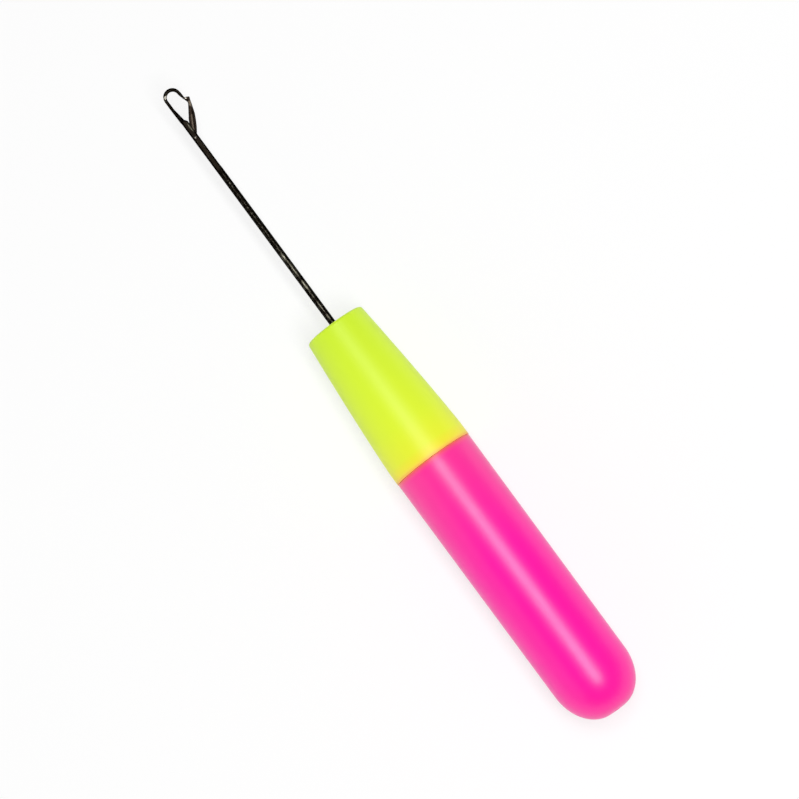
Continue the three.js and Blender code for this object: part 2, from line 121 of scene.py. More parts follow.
def turning_tree():
    """Turns a profile of (x, radius) points about X. Its z says where the witness line is raised."""
    tree = bpy.data.node_groups.new("Turned profile", "GeometryNodeTree")
    for name, kind in (
        ("Profile", "NodeSocketGeometry"),
        ("Sides", "NodeSocketInt"),
        ("Witness Height", "NodeSocketFloat"),
        ("Witness Half Width", "NodeSocketFloat"),
        ("Crowding", "NodeSocketFloat"),
        ("Material", "NodeSocketMaterial"),
    ):
        tree.interface.new_socket(name, in_out="INPUT", socket_type=kind)
    tree.interface.new_socket("Moulding", in_out="OUTPUT", socket_type="NodeSocketGeometry")
    given = add(tree, "NodeGroupInput").outputs
    place = add(tree, "GeometryNodeInputPosition")
    index = add(tree, "GeometryNodeInputIndex")

    # The grid has one column of profile points for each side, and one more that closes the turn.
    size = add(tree, "GeometryNodeAttributeDomainSize", {"Geometry": given["Profile"]})
    rows = size.outputs["Point Count"]
    columns = add(tree, "FunctionNodeIntegerMath", {0: given["Sides"], 1: 1}, operation="ADD")
    spacing = {"Size X": 1.0, "Size Y": 1.0, "Vertices X": columns, "Vertices Y": rows}
    grid = add(tree, "GeometryNodeMeshGrid", spacing)
    row = add(tree, "FunctionNodeIntegerMath", {0: index, 1: rows}, operation="MODULO")
    sample = {"Geometry": given["Profile"], "Value": place, "Index": row}
    picked = add(tree, "GeometryNodeSampleIndex", sample, data_type="FLOAT_VECTOR")
    point = add(tree, "ShaderNodeSeparateXYZ", {0: picked}).outputs

    # The columns crowd together towards the two witness lines.
    column = add(tree, "ShaderNodeSeparateXYZ", {0: place}).outputs["X"]
    whole_turn = {0: column, 1: 2 * math.pi, 2: math.pi}
    turn = add(tree, "ShaderNodeMath", whole_turn, operation="MULTIPLY_ADD")
    twice = add(tree, "ShaderNodeMath", {0: turn, 1: 2.0}, operation="MULTIPLY")
    swing = add(tree, "ShaderNodeMath", {0: twice}, operation="SINE")
    half = add(tree, "ShaderNodeMath", {0: given["Crowding"], 1: 0.5}, operation="MULTIPLY")
    crowd = add(tree, "ShaderNodeMath", {0: swing, 1: half}, operation="MULTIPLY")
    angle = add(tree, "ShaderNodeMath", {0: turn, 1: crowd}, operation="SUBTRACT")
    sine = add(tree, "ShaderNodeMath", {0: angle}, operation="SINE")
    cosine = add(tree, "ShaderNodeMath", {0: angle}, operation="COSINE")

    # A witness line is a low ridge at each side, where the mould's halves meet.
    off = add(tree, "ShaderNodeMath", {0: sine}, operation="ABSOLUTE")
    away = add(tree, "ShaderNodeMath", {0: point["Y"], 1: off}, operation="MULTIPLY")
    far = add(tree, "ShaderNodeMath", {0: away, 1: given["Witness Half Width"]}, operation="DIVIDE")
    near = add(tree, "ShaderNodeMath", {0: 1.0, 1: far}, operation="SUBTRACT", use_clamp=True)
    ridge = add(tree, "ShaderNodeMath", {0: near, 1: given["Witness Height"]}, operation="MULTIPLY")
    raised = {0: ridge, 1: point["Z"], 2: point["Y"]}
    radius = add(tree, "ShaderNodeMath", raised, operation="MULTIPLY_ADD")
    y = add(tree, "ShaderNodeMath", {0: radius, 1: cosine}, operation="MULTIPLY")
    z = add(tree, "ShaderNodeMath", {0: radius, 1: sine}, operation="MULTIPLY")
    turned_place = add(tree, "ShaderNodeCombineXYZ", {"X": point["X"], "Y": y, "Z": z})
    body = add(tree, "GeometryNodeSetPosition", {"Geometry": grid, "Position": turned_place})
    closed = add(tree, "GeometryNodeMergeByDistance", {"Geometry": body, "Distance": 0.0005 * MM})
    real = add(tree, "GeometryNodeRealizeInstances", {"Geometry": closed})
    painted = add(tree, "GeometryNodeSetMaterial", {"Geometry": real, "Material": given["Material"]})
    add(tree, "NodeGroupOutput", {0: painted})
    return tree


TURNING = turning_tree()


def new_object(name, content):
    """An object at the origin, put into the scene."""
    made = bpy.data.objects.new(name, content)
    bpy.context.scene.collection.objects.link(made)
    return made


def grow(made, tree, values):
    """Puts a Geometry Nodes tree on an object, with its inputs set."""
    modifier = made.modifiers.new(tree.name, "NODES")
    modifier.node_group = tree
    for item in tree.interface.items_tree:
        if item.name in values:
            modifier[item.identifier] = values[item.name]


def settle(made):
    """Turns an object's modifiers into its plain mesh: closed, facing outwards, shaded smooth, and of
    one material, also where it was cut."""
    graph = bpy.context.evaluated_depsgraph_get()
    mesh = bpy.data.meshes.new_from_object(made.evaluated_get(graph), depsgraph=graph)
    made.modifiers.clear()
    made.data = mesh
    work = bmesh.new()
    work.from_mesh(mesh)
    bmesh.ops.recalc_face_normals(work, faces=work.faces)
    work.to_mesh(mesh)
    work.free()
    mesh.shade_smooth()
    mesh.set_sharp_from_angle(angle=CREASE)
    finish = mesh.materials[-1]
    mesh.materials.clear()
    mesh.materials.append(finish)
    return made


def turned(name, profile, sides, material, witness=0.0, crowding=0.0):
    """A round piece from its profile, in millimetres about the X axis, with or without witness lines."""
    flags = [1.0 if witness and radius > WITNESS_LEAST_RADIUS else 0.0 for _, radius in profile]
    points = [(x * MM, radius * MM, flag) for (x, radius), flag in zip(profile, flags)]
    outline = bpy.data.meshes.new(name)
    outline.from_pydata(points, [(i, i + 1) for i in range(len(points) - 1)], [])
    made = new_object(name, outline)
    values = {
        "Sides": sides,
        "Witness Height": witness * MM,
        "Witness Half Width": WITNESS_HALF_WIDTH * MM,
        "Crowding": crowding,
        "Material": material,
    }
    grow(made, TURNING, values)
    return settle(made)


def new_material(name):
    """A material without nodes yet, but for those that give the place on the object in millimetres."""
    material = bpy.data.materials.new(name)
    material.use_nodes = True
    tree = material.node_tree
    tree.nodes.clear()
    place = add(tree, "ShaderNodeTexCoord").outputs["Object"]
    size = add(tree, "ShaderNodeVectorMath", {0: place, 1: (1 / MM,) * 3}, operation="MULTIPLY")
    return material, tree, size


def moulded_abs(name, colours_and_seam_glow, roughness, seed):
    """Injection-moulded ABS with a satin skin. The eye gets a clean saturated body, a soft broad
    highlight with slightly wavering edges from the mould's polish, and a few faint rub marks."""
    material, tree, size = new_material(name)

    # The colour along the moulding, with a painted glow at the seam: towards it each plastic is painted
    # warmer and lighter in the other's colour, standing in for the light that the two let through into
    # each other.
    along = add(tree, "ShaderNodeSeparateXYZ", {0: size}).outputs["X"]
    start, end = colours_and_seam_glow[0][0], colours_and_seam_glow[-1][0]
    share = add(tree, "ShaderNodeMapRange", {"Value": along, "From Min": start, "From Max": end})
    ramp = add(tree, "ShaderNodeValToRGB", {"Fac": share})
    while len(ramp.color_ramp.elements) < len(colours_and_seam_glow):
        ramp.color_ramp.elements.new(0.5)
    for element, (x, code) in zip(ramp.color_ramp.elements, colours_and_seam_glow):
        element.position = (x - start) / (end - start)
        element.color = linear(code)

    # Flow lines, 12 mm wide and 40 mm long, barely change how deep the colour looks.
    lengthwise = {"Vector": size, "Location": (seed,) * 3, "Scale": (0.3, 1, 1)}
    flow_place = add(tree, "ShaderNodeMapping", lengthwise)
    flow = add(tree, "ShaderNodeTexNoise", {"Vector": flow_place, "Scale": 1 / 12, "Detail": 2.0})
    depth = add(tree, "ShaderNodeMapRange", {"Value": flow, "To Min": 0.94, "To Max": 1.04})
    body = add(tree, "ShaderNodeHueSaturation", {"Color": ramp, "Value": depth})

    # Rub marks from handling, 0.3 mm wide and 8 mm long, faint. They only dull the gloss.
    slanted = {"Vector": size, "Rotation": (0, 0, 0.12), "Scale": (0.12, 3.5, 3.5)}
    rub_place = add(tree, "ShaderNodeMapping", slanted)
    rubs = add(tree, "ShaderNodeTexNoise", {"Vector": rub_place, "Scale": 1.0, "Detail": 3.0})
    marks = {"Value": rubs, "From Min": 0.62, "From Max": 0.78, "To Max": 0.12}
    rub = add(tree, "ShaderNodeMapRange", marks)
    cloud = add(tree, "ShaderNodeTexNoise", {"Vector": size, "Scale": 1 / 7, "Detail": 3.0})
    span = {"Value": cloud, "To Min": roughness - 0.04, "To Max": roughness + 0.04}
    satin = add(tree, "ShaderNodeMapRange", span)
    gloss = add(tree, "ShaderNodeMath", {0: satin, 1: rub}, operation="ADD")

    # The skin: waves of the hand-polished mould, 9 mm long, and a fine orange peel, 0.8 mm wide.
    waves = add(tree, "ShaderNodeTexNoise", {"Vector": size, "Scale": 1 / 9, "Detail": 1.0})
    wave_skin = add(tree, "ShaderNodeBump", {"Strength": 1.0, "Distance": 0.02 * MM, "Height": waves})
    peel = add(tree, "ShaderNodeTexNoise", {"Vector": size, "Scale": 1 / 0.8, "Detail": 2.0})
    fine = {"Strength": 1.0, "Distance": 0.0025 * MM, "Height": peel, "Normal": wave_skin}
    skin = add(tree, "ShaderNodeBump", fine)
    finish = {"Base Color": body, "Roughness": gloss, "IOR": 1.53, "Normal": skin}
    shader = add(tree, "ShaderNodeBsdfPrincipled", finish)
    add(tree, "ShaderNodeOutputMaterial", {"Surface": shader})
    return material


gate = [
    (BUTT_X + GATE_DEPTH - GATE_NUB_HEIGHT, 0),
    (BUTT_X + GATE_DEPTH - GATE_NUB_HEIGHT, GATE_NUB_RADIUS * GATE_TAPER),
    (BUTT_X + GATE_DEPTH, GATE_NUB_RADIUS),
    (BUTT_X + GATE_DEPTH, GATE_RADIUS * GATE_TAPER),
    (BUTT_X, GATE_RADIUS),
]
dome_middle = BUTT_X + BUTT_DOME
dome_size = (BUTT_DOME, BARREL_REAR_RADIUS - BUTT_FLAT_RADIUS)
dome = arc(dome_middle, BUTT_FLAT_RADIUS, *dome_size, start=180, end=90, steps=40)
mouth_middle = (SEAM_X - BARREL_EDGE, BARREL_MOUTH_RADIUS - BARREL_EDGE)
mouth = arc(*mouth_middle, BARREL_EDGE, BARREL_EDGE, start=90, end=0, steps=5)
inner_size = (BUTT_DOME - BUTT_WALL, BARREL_BORE_RADIUS)
inner_dome = arc(dome_middle, 0, *inner_size, start=90, end=180, steps=16)
barrel_profile = [
    *gate,
    *dome,
    *line(dome[-1], mouth[0], steps=24),
    *mouth,
    (SEAM_X, BARREL_BORE_RADIUS),
    *inner_dome,
]
pink = moulded_abs(
    "pink_moulded_abs",
    [
        (BUTT_X, "#ff009a"),
        (BUTT_X + 12, "#ff00a3"),
        (SEAM_X - 26, "#ff04a4"),
        # From the stop above to the seam the pink is painted warmer and lighter: a painted glow of the
        # yellow nose.
        (SEAM_X - 1.4, "#ff2e9a"),
        (SEAM_X - 0.8, "#fd3f8e"),
        (SEAM_X - 0.4, "#f85274"),
        (SEAM_X, "#f66a5a"),
    ],
    roughness=0.35,
    seed=3.0,
)
barrel = turned("handle_barrel", barrel_profile, HANDLE_SIDES, pink, WITNESS_HEIGHT, WITNESS_CROWDING)
barrel.data.transform(Matrix.Translation((0, 0, AXIS_Z * MM)))
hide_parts("barrel")
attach(barrel, "handle")


# Nose: the front half of the handle, a tapered shell moulded in fluorescent yellow ABS. Four webs
# inside hold a socket, in which the needle's tang sits, and a spigot behind goes into the barrel.
NOSE_FRONT_RADIUS = 7.05
NOSE_FRONT_EDGE = 0.7
NOSE_FRONT_SLOPE = 0.09  # how much the radius grows for each mm of length, and so for the base
NOSE_BASE_RADIUS = (nose_high.z - nose_low.z) / 2 / MM - WITNESS_HEIGHT
NOSE_BASE_SLOPE = 0.045
NOSE_BASE_STRAIGHT = 2.8
NOSE_BASE_EDGE = 0.12
SEAM_GAP = 0.03
SPIGOT_FIT = 0.05
SPIGOT_WALL = 1.8
SPIGOT_LEAD = 0.6  # a chamfer this long, and half as deep
NOSE_FRONT_WALL = 3.0
NOSE_SKIN = 2.2
SOCKET_RADIUS = 2.85  # of its outside
SOCKET_BORE = 0.8
SOCKET_CHAMFER = 0.12
SOCKET_LENGTH = 23.0  # from the nose's face
WEB_COUNT = 4
WEB_THICKNESS = 1.2
WING_POCKET = (5.1, 2.5, 0.9)  # room in the socket for the stretch of the tang that is pressed flat
WING_POCKET_X = FACE_X - 15.5


def bezier(start, start_handle, end_handle, end, steps):
    """Points of a cubic curve, with its ends."""
    points = [np.array(p) for p in (start, start_handle, end_handle, end)]
    curve = []
    for t in np.linspace(0, 1, steps + 1):
        shares = ((1 - t) ** 3, 3 * t * (1 - t) ** 2, 3 * t * t * (1 - t), t**3)
        curve.append(tuple(sum(share * point for share, point in zip(shares, points))))
    return curve


def web_tree():
    """Repeats a radial web round the X axis."""
    tree = bpy.data.node_groups.new("Webs round a socket", "GeometryNodeTree")
    for name, kind in (
        ("Count", "NodeSocketInt"),
        ("Size", "NodeSocketVector"),
        ("Middle", "NodeSocketVector"),
        ("Material", "NodeSocketMaterial"),
    ):
        tree.interface.new_socket(name, in_out="INPUT", socket_type=kind)
    tree.interface.new_socket("Webs", in_out="OUTPUT", socket_type="NodeSocketGeometry")
    given = add(tree, "NodeGroupInput").outputs
    block = add(tree, "GeometryNodeMeshCube", {"Size": given["Size"]})
    web = add(tree, "GeometryNodeTransform", {"Geometry": block, "Translation": given["Middle"]})
    places = add(tree, "GeometryNodePoints", {"Count": given["Count"]})
    index = add(tree, "GeometryNodeInputIndex")
    half_on = add(tree, "ShaderNodeMath", {0: index, 1: 0.5}, operation="ADD")
    step = add(tree, "ShaderNodeMath", {0: 2 * math.pi, 1: given["Count"]}, operation="DIVIDE")
    turn = add(tree, "ShaderNodeMath", {0: half_on, 1: step}, operation="MULTIPLY")
    turns = add(tree, "ShaderNodeCombineXYZ", {"X": turn})
    round_x = {"Points": places, "Instance": web, "Rotation": turns}
    webs = add(tree, "GeometryNodeInstanceOnPoints", round_x)
    real = add(tree, "GeometryNodeRealizeInstances", {"Geometry": webs})
    painted = add(tree, "GeometryNodeSetMaterial", {"Geometry": real, "Material": given["Material"]})
    add(tree, "NodeGroupOutput", {0: painted})
    return tree


def cut(made, tool, operation):
    """Joins or cuts a piece with a tool object, which is used up."""
    modifier = made.modifiers.new("Cut", "BOOLEAN")
    modifier.operation = operation
    modifier.solver = "EXACT"
    modifier.object = tool
    settle(made)
    bpy.data.objects.remove(tool)


yellow = moulded_abs(
    "yellow_moulded_abs",
    [
        # Towards the seam the yellow is painted warmer, orange in its last millimetre: a painted glow of
        # the pink barrel.
        (SEAM_X, "#fba654"),
        (SEAM_X + 0.2, "#fab652"),
        (SEAM_X + 0.45, "#f8cc48"),
        (SEAM_X + 0.8, "#f8e23c"),
        (SEAM_X + 1.3, "#f4e92c"),
        (SEAM_X + 3.2, "#e9f326"),
        (SEAM_X + 9.7, "#dff627"),
        (SEAM_X + 20, "#d9f628"),
        (FACE_X, "#d2f528"),
    ],
    roughness=0.46,
    seed=11.0,
)
nose_rear = SEAM_X + SEAM_GAP
spigot_end = nose_low.x / MM
spigot_radius = BARREL_BORE_RADIUS - SPIGOT_FIT
core_radius = spigot_radius - SPIGOT_WALL
front_core_radius = NOSE_FRONT_RADIUS - NOSE_SKIN
inner_face = FACE_X - NOSE_FRONT_WALL
socket_end = FACE_X - SOCKET_LENGTH
side_start = (nose_rear + NOSE_BASE_STRAIGHT, NOSE_BASE_RADIUS)
side_end = (FACE_X - NOSE_FRONT_EDGE, NOSE_FRONT_RADIUS)
reach = (side_end[0] - side_start[0]) / 3
side = bezier(
    side_start,
    (side_start[0] + reach, side_start[1] - NOSE_BASE_SLOPE * reach),
    (side_end[0] - reach, side_end[1] + NOSE_FRONT_SLOPE * reach),
    side_end,
    steps=24,
)
base_middle = (nose_rear + NOSE_BASE_EDGE, NOSE_BASE_RADIUS - NOSE_BASE_EDGE)
base_edge = arc(*base_middle, NOSE_BASE_EDGE, NOSE_BASE_EDGE, start=180, end=90, steps=5)
front_middle = (FACE_X - NOSE_FRONT_EDGE, NOSE_FRONT_RADIUS - NOSE_FRONT_EDGE)
front_edge = arc(*front_middle, NOSE_FRONT_EDGE, NOSE_FRONT_EDGE, start=90, end=0, steps=10)
nose_profile = [
    (socket_end, SOCKET_BORE),
    (socket_end, SOCKET_RADIUS),
    (inner_face, SOCKET_RADIUS),
    (inner_face, front_core_radius),
    (spigot_end, core_radius),
    (spigot_end, spigot_radius - SPIGOT_LEAD / 2),
    (spigot_end + SPIGOT_LEAD, spigot_radius),
    (nose_rear, spigot_radius),
    *base_edge,
    *line(base_edge[-1], side_start, steps=4),
    *side,
    *front_edge[1:],
    (FACE_X, SOCKET_BORE + SOCKET_CHAMFER),
    (FACE_X - SOCKET_CHAMFER, SOCKET_BORE),
    (socket_end, SOCKET_BORE),
]
nose = turned("handle_nose", nose_profile, HANDLE_SIDES, yellow, WITNESS_HEIGHT, WITNESS_CROWDING)
web_inner = (SOCKET_BORE + SOCKET_RADIUS) / 2
web_outer = front_core_radius + SPIGOT_WALL / 2
webs = new_object("webs", bpy.data.meshes.new("webs"))
web_values = {
    "Count": WEB_COUNT,
    "Size": ((inner_face - socket_end) * MM, (web_outer - web_inner) * MM, WEB_THICKNESS * MM),
    "Middle": ((inner_face + socket_end) / 2 * MM, (web_inner + web_outer) / 2 * MM, 0),
    "Material": yellow,
}
grow(webs, web_tree(), web_values)
settle(webs)
cut(nose, webs, "UNION")
pocket = new_object("pocket", bpy.data.meshes.new("pocket"))
block = bmesh.new()
pocket_place = Matrix.Translation((WING_POCKET_X * MM, 0, 0)) @ Matrix.Diagonal((*WING_POCKET, 1))
bmesh.ops.create_cube(block, size=MM, matrix=pocket_place)
block.to_mesh(pocket.data)
block.free()
cut(nose, pocket, "DIFFERENCE")
nose.data.transform(Matrix.Translation((0, 0, AXIS_Z * MM)))
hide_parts("nose")
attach(nose, "handle")


# Needle: one length of steel wire. Its tang is pressed flat inside the socket, two cheeks are pressed
# and saw-slotted at the latch, and the wire ahead is drawn thin and bent round into the hook. It is
# blackened, rubbed on the cheek, lighter in places along the stem, and has painted glints at the crown.
rivet_x, rivet_y, _ = (value / MM for value in frame["joints"][0]["pos_m"])
needle_low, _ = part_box("needle")
TANG_END = needle_low.x / MM - rivet_x  # the needle's places are counted along the tool from the rivet
FACE = FACE_X - rivet_x
STEM_RADIUS = 0.75
TANG_CHAMFER = 0.25
WING = (FACE - 18.0, FACE - 13.0)
WING_HALF_WIDTH = 1.2
WING_HALF_THICKNESS = 0.4
WING_SQUARENESS = 5.0
CHEEK_START = -9.75
CHEEK_FLAT = -8.75
CHEEK_FRONT = 3.9
CHEEK_RAMP = 0.7
CHEEK_HALF_WIDTH = 0.62
HOOK_START = CHEEK_FRONT + CHEEK_RAMP
HOOK_START_RADIUS = 0.53
RING_STEP = 0.2  # between the rings at the cheeks, and those of the latch's blade
WIRE_RADIUS = 0.35
WIRE_BACK_DROP = 0.9  # from the stem's axis to the back of the thin wire
WIRE_START = 7.65
BEND_START = 9.97
BEND_RADIUS = 1.62
CROWN_SWELL = 0.07
HOOK_FLARE = math.radians(8)
TIP = 8.3
TIP_TAPER = 1.3
TIP_RADIUS = 0.2

# What the slot leaves room for: the latch, closed on the hook's tip or leaning back on the stem.
EYE_RADIUS = 0.36
BLADE_SHOULDER = 2.6
BLADE_TAPER = 3.6  # this and the neck are counted back from the hook's tip
BLADE_HALF_WIDTH = 0.68
NECK_SETBACK = 1.0
NECK_HALF_WIDTH = 0.33
SPOON_DROP = 1.15  # from the blade's middle line to the middle of the hook's tip
LATCH_REST_GAP = 0.06
SLOT_CLEARANCE = 0.08
SLOT_HALF_WIDTH = 0.25

# A section has 61 points round its outside, and 11 more that follow the slot where there is one.
OUTER_POINTS = 61
RIM_TURN = math.radians(30)  # where the 11 points lie on a section without a slot
RIM_CHAMFER = 0.03
CHANNEL_SHARE = 0.42  # a coined channel's half width, as a share of the section's
CHANNEL_STEEPNESS = 8
# The slot's outline, in shares of its half width and of its depth.
SLOT_PATH = [
    (-1, 0), (-1, 0.35), (-1, 0.7), (-0.95, 0.93), (-0.7, 1), (0, 1),
    (0.7, 1), (0.95, 0.93), (1, 0.7), (1, 0.35), (1, 0),
]

HANDLED_TO = 34.0  # from the nose's face, where the wear from the hand begins to lessen
UNHANDLED_FROM = 42.0
# Lighter places along the top of the stem: from the nose's face, towards the mouth, half the length,
# half the width, and how light they are.
STEM_LIGHT_PLACES = [
    (2.2, 0.1, 1.0, 0.45, 0.3),
    (5.0, 0.0, 1.3, 0.45, 0.3),
    (10.6, 0.1, 1.7, 0.55, 0.56),
    (14.8, 0.2, 2.4, 0.45, 0.42),
    (18.2, -0.2, 1.5, 0.5, 0.6),
]


def section(
    half_mouth, half_side, squareness=2.0, flat=math.inf, slot_half=0.0, slot_depth=0.0, channel=0.0
):
    """A section's outline as (towards the mouth, sideways) points. It is an oval, round at squareness
    2, that can be pressed flat or coined with a channel on its two sides, and slotted from the
    mouth's side."""
    rim = RIM_TURN
    if slot_depth:
        rim = math.asin(((slot_half + RIM_CHAMFER) / half_side) ** (squareness / 2))
    outer = np.linspace(rim, 2 * math.pi - rim, OUTER_POINTS)
    inner = np.linspace(-rim, rim, len(SLOT_PATH) + 2)[1:-1]
    turns = np.concatenate([outer, inner])
    power = 2 / squareness
    mouth_wards = half_mouth * np.sign(np.cos(turns)) * np.abs(np.cos(turns)) ** power
    sideways = half_side * np.sign(np.sin(turns)) * np.abs(np.sin(turns)) ** power
    sideways = np.clip(sideways, -flat, flat)
    across_channel = mouth_wards / (CHANNEL_SHARE * half_mouth)
    sideways -= np.sign(sideways) * channel / (1 + across_channel**CHANNEL_STEEPNESS)
    if slot_depth:
        top = mouth_wards[0] - RIM_CHAMFER
        floor = half_mouth - slot_depth
        for i, (across, down) in enumerate(SLOT_PATH):
            mouth_wards[OUTER_POINTS + i] = top + (floor - top) * down
            sideways[OUTER_POINTS + i] = slot_half * across
    return np.stack([mouth_wards, sideways], axis=1)


def skinned(name, rings, material):
    """A closed skin over rings of equally many (x, y, z) points, with a flat cap at each end."""
    count = len(rings[0])
    faces = []
    for start in range(0, (len(rings) - 1) * count, count):
        for i in range(count):
            ahead = (i + 1) % count
            faces.append((start + i, start + ahead, start + count + ahead, start + count + i))
    faces.append(tuple(range(count)))
    faces.append(tuple(range((len(rings) - 1) * count, len(rings) * count)))
    mesh = bpy.data.meshes.new(name)
    mesh.from_pydata([Vector(point) * MM for ring in rings for point in ring], [], faces)
    mesh.materials.append(material)
    return settle(new_object(name, mesh))


def blackened_steel(name, dark, worn, bare_steel_and_glint, roughness, rubs, channel=None):
    """Drawn and blackened steel. The eye gets a near-black metal with dark edges, fine lengthwise
    drawing lines, olive-brown specks where the black is thin, places rubbed down to the steel, and
    painted glints, which are painted lighter in the steel's colour. rubs gives each of these places,
    rubbed and painted alike, its middle, its reach along X, Y and Z, and how light it is painted.
    channel gives a coined channel's middle line, its turn, its half width, where the painted highlight
    on its floor starts and ends, and how light that is."""
    material, tree, size = new_material(name)

    # The black is thin in clouds some 4 mm long, and there it is dotted with specks 0.3 mm wide.
    cloud_place = add(tree, "ShaderNodeMapping", {"Vector": size, "Scale": (0.28, 1.1, 1.1)})
    clouds = add(tree, "ShaderNodeTexNoise", {"Vector": cloud_place, "Scale": 1.0, "Detail": 2.0})
    thin = {"Value": clouds, "From Min": 0.4, "From Max": 0.65, "To Min": 0.14, "To Max": 0.4}
    thinness = add(tree, "ShaderNodeMapRange", thin)

    # Towards the hook, which the hand doesn't touch, the black is almost whole.
    along = add(tree, "ShaderNodeSeparateXYZ", {0: size}).outputs["X"]
    limits = {"From Min": FACE_X + UNHANDLED_FROM, "From Max": FACE_X + HANDLED_TO}
    hand = add(tree, "ShaderNodeMapRange", {"Value": along, **limits, "To Min": 0.1})
    most = add(tree, "ShaderNodeMath", {0: thinness, 1: hand}, operation="MULTIPLY")
    speck_place = add(tree, "ShaderNodeMapping", {"Vector": size, "Scale": (0.55, 1.0, 1.0)})
    specks = add(tree, "ShaderNodeTexNoise", {"Vector": speck_place, "Scale": 1 / 0.3, "Detail": 2.0})
    speck = add(tree, "ShaderNodeMapRange", {"Value": specks, "From Min": 0.48, "From Max": 0.68})
    wear = add(tree, "ShaderNodeMath", {0: speck, 1: most}, operation="MULTIPLY")

    if channel:
        # A painted highlight lies along the channel's floor. Beside it, in the creases and out to the
        # rims,
        # even the specks are taken out: painted shade for the dark lines there.
        middle, turn, half_width, start, end, lightening = channel
        lengthwise = {"Vector": size, "Location": middle, "Rotation": (0, 0, turn)}
        level = add(tree, "ShaderNodeMapping", lengthwise, vector_type="TEXTURE")
        down, across, _ = add(tree, "ShaderNodeSeparateXYZ", {0: level}).outputs
        side = add(tree, "ShaderNodeMath", {0: across}, operation="ABSOLUTE")
        off = add(tree, "ShaderNodeMath", {0: side, 1: half_width}, operation="SUBTRACT")
        inwards = {"Value": off, "From Min": -0.08, "From Max": -0.22}
        floor = add(tree, "ShaderNodeMapRange", inwards)
        wear = add(tree, "ShaderNodeMath", {0: wear, 1: floor}, operation="MULTIPLY")
        onwards = {"Value": down, "From Min": start, "From Max": start + 0.5}
        after = add(tree, "ShaderNodeMapRange", onwards)
        backwards = {"Value": down, "From Min": end, "From Max": end - 0.5}
        before = add(tree, "ShaderNodeMapRange", backwards)
        stretch = add(tree, "ShaderNodeMath", {0: after, 1: before}, operation="MULTIPLY")
        open_floor = add(tree, "ShaderNodeMath", {0: stretch, 1: floor}, operation="MULTIPLY")
        lightened = add(tree, "ShaderNodeMath", {0: open_floor, 1: lightening}, operation="MULTIPLY")
        wear = add(tree, "ShaderNodeMath", {0: wear, 1: lightened}, operation="MAXIMUM")

    # Rubbed places and painted glints alike fade towards their edge, and the specks break them up.
    patchy = {"Value": specks, "From Min": 0.38, "From Max": 0.55, "To Min": 0.6}
    broken = add(tree, "ShaderNodeMapRange", patchy)
    for middle, reach, lightening in rubs:
        scale = [1 / length for length in reach]
        scaled = add(tree, "ShaderNodeVectorMath", {0: size, 1: scale}, operation="MULTIPLY")
        target = [value / length for value, length in zip(middle, reach)]
        apart = add(tree, "ShaderNodeVectorMath", {0: scaled, 1: target}, operation="DISTANCE")
        fade = {"Value": apart.outputs["Value"], "From Min": 1.0, "From Max": 0.4, "To Max": lightening}
        rub = add(tree, "ShaderNodeMapRange", fade, interpolation_type="SMOOTHSTEP")
        lightened = add(tree, "ShaderNodeMath", {0: rub, 1: broken}, operation="MULTIPLY")
        wear = add(tree, "ShaderNodeMath", {0: wear, 1: lightened}, operation="MAXIMUM")
    # The brightest stop is bare steel, which the painted glints reach.
    colour = add(tree, "ShaderNodeValToRGB", {"Fac": wear})
    colour.color_ramp.elements.new(0.5)
    for element, code in zip(colour.color_ramp.elements, (dark, worn, bare_steel_and_glint)):
        element.color = linear(code)

    # Drawing lines: 0.12 mm wide here, coarser than real ones so that they show at all.
    drawn_place = add(tree, "ShaderNodeMapping", {"Vector": size, "Scale": (0.12, 8.0, 8.0)})
    drawn = add(tree, "ShaderNodeTexNoise", {"Vector": drawn_place, "Scale": 1.0, "Detail": 2.0})
    span = {"Value": drawn, "To Min": roughness - 0.1, "To Max": roughness + 0.1}
    gloss = add(tree, "ShaderNodeMapRange", span)
    skin = add(tree, "ShaderNodeBump", {"Strength": 1.0, "Distance": 0.004 * MM, "Height": drawn})

    # The black is dark at its edges too, and bare steel is bright there.
    edges = add(tree, "ShaderNodeMapRange", {"Value": wear, "From Min": 0.4, "From Max": 1.0})
    finish = {
        "Base Color": colour,
        "Metallic": 1.0,
        "Roughness": gloss,
        "Specular Tint": edges,
        "Normal": skin,
    }
    shader = add(tree, "ShaderNodeBsdfPrincipled", finish)
    add(tree, "ShaderNodeOutputMaterial", {"Surface": shader})
    return material


def in_hook_plane(along, mouth_wards, sideways):
    """A point given along the tool from the rivet and from the stem's axis towards the mouth."""
    return (rivet_x + along, -mouth_wards, AXIS_Z + sideways)


def ring(along, middle, heading, outline):
    """A section's outline, square to a heading in the hook's plane."""
    return [
        in_hook_plane(along - out * math.sin(heading), middle + out * math.cos(heading), sideways)
        for out, sideways in outline
    ]


def drawn_middle(radius):
    """Where the wire's middle lies as it is drawn down from the stem to the thin wire."""
    share = (STEM_RADIUS - radius) / (STEM_RADIUS - WIRE_RADIUS)
    return -share * (WIRE_BACK_DROP - WIRE_RADIUS)


bend_middle = BEND_RADIUS - (WIRE_BACK_DROP - WIRE_RADIUS)
leg_start = BEND_START + BEND_RADIUS * math.sin(HOOK_FLARE)
leg_start_middle = bend_middle + BEND_RADIUS * math.cos(HOOK_FLARE)
tip_middle = leg_start_middle + (leg_start - TIP) * math.tan(HOOK_FLARE)
tip_rise = tip_middle + rivet_y
tip_distance = math.hypot(TIP, tip_rise)
latch_reach = math.sqrt(tip_distance**2 - SPOON_DROP**2)
latch_angle = math.atan2(tip_rise, TIP) + math.asin(SPOON_DROP / tip_distance)
latch_lean = math.asin((STEM_RADIUS + LATCH_REST_GAP + rivet_y + NECK_HALF_WIDTH) / latch_reach)


def slot_floor(reach, half_width):
    """The slot's floor (along, towards the mouth) under a place of the latch as it leans back."""
    along = -reach * math.cos(latch_lean) - half_width * math.sin(latch_lean)
    height = reach * math.sin(latch_lean) - half_width * math.cos(latch_lean)
    return along, height - rivet_y - SLOT_CLEARANCE


